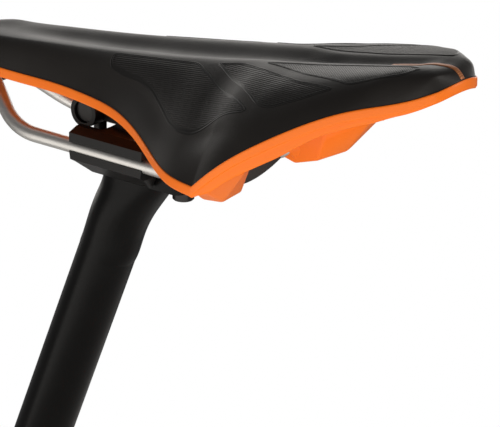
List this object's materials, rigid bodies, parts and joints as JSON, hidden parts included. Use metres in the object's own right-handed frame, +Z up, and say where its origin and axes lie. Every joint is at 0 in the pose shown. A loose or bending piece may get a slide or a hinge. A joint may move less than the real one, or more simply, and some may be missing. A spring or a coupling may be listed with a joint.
{
  "type": "bicycle saddle on a seatpost",
  "caption": "Mountain-bike saddle with a grooved cover and an orange shell, held by its rails in the two-bolt clamp of a round seatpost.",
  "frame": {"origin": "centre of the seatpost's lower end", "axes": "+Z up with the rails level, +X forward to the saddle's nose, +Y to the rider's left"},
  "size_m": [0.3146, 0.1406, 0.4039],
  "materials": {
    "anodised_black": "satin black",
    "machined_black": "satin black",
    "steel_black": "black oxide",
    "steel_silver": "polished",
    "shell_orange": "smooth orange",
    "black_plastic": "matt",
    "foam": "soft foam",
    "cover_black": "satin black",
    "grip_black": "finely ribbed",
    "stripe_copper": "matt copper"
  },
  "bodies": {
    "post": {"seatpost": "anodised_black", "washer_front": "steel_black", "washer_rear": "steel_black"},
    "clamp": {"lower_cradle": "machined_black", "upper_yoke": "machined_black"},
    "saddle": {"shell": "shell_orange", "rear_bridge": "black_plastic", "nose_socket": "black_plastic", "nose_screw": "steel_black", "rail_left": "steel_silver", "rail_right": "steel_silver", "padding": "foam", "cover": "cover_black", "centre_stripe": "stripe_copper", "grip_front_left": "grip_black", "grip_front_right": "grip_black", "grip_mid_left": "grip_black", "grip_mid_right": "grip_black", "grip_rear_left": "grip_black", "grip_rear_right": "grip_black"},
    "front_nut": {"barrel_nut_front": "steel_black"},
    "rear_nut": {"barrel_nut_rear": "steel_black"},
    "front_bolt": {"bolt_front": "steel_black"},
    "rear_bolt": {"bolt_rear": "steel_black"}
  },
  "joints": [
    {"name": "saddle_tilt", "type": "hinge", "parent": "post", "child": "clamp", "pos_m": [-0.12664, 0, 0.33842], "axis": [0, 1, 0], "range_deg": [-8, 8]},
    {"name": "fore_aft", "type": "slide", "parent": "clamp", "child": "saddle", "axis": [1, 0, 0], "range_m": [-0.022, 0.018]},
    {"name": "front_nut_travel", "type": "slide", "parent": "post", "child": "front_nut", "axis": [0, 0, 1], "range_m": [-0.0036, 0.0036]},
    {"name": "rear_nut_travel", "type": "slide", "parent": "post", "child": "rear_nut", "axis": [0, 0, 1], "range_m": [-0.0036, 0.0036]},
    {"name": "front_bolt_turn", "type": "hinge", "parent": "post", "child": "front_bolt", "pos_m": [-0.10184, 0, 0.31042], "axis": [0, 0, 1], "range_deg": [-1260, 1260]},
    {"name": "rear_bolt_turn", "type": "hinge", "parent": "post", "child": "rear_bolt", "pos_m": [-0.15144, 0, 0.31042], "axis": [0, 0, 1], "range_deg": [-1260, 1260]}
  ],
  "couplings": [
    {"joint": "front_nut_travel", "follows": "saddle_tilt", "m_per_rad": -0.0248},
    {"joint": "rear_nut_travel", "follows": "saddle_tilt", "m_per_rad": 0.0248},
    {"joint": "front_bolt_turn", "follows": "saddle_tilt", "ratio": 155.82},
    {"joint": "rear_bolt_turn", "follows": "saddle_tilt", "ratio": -155.82}
  ]
}
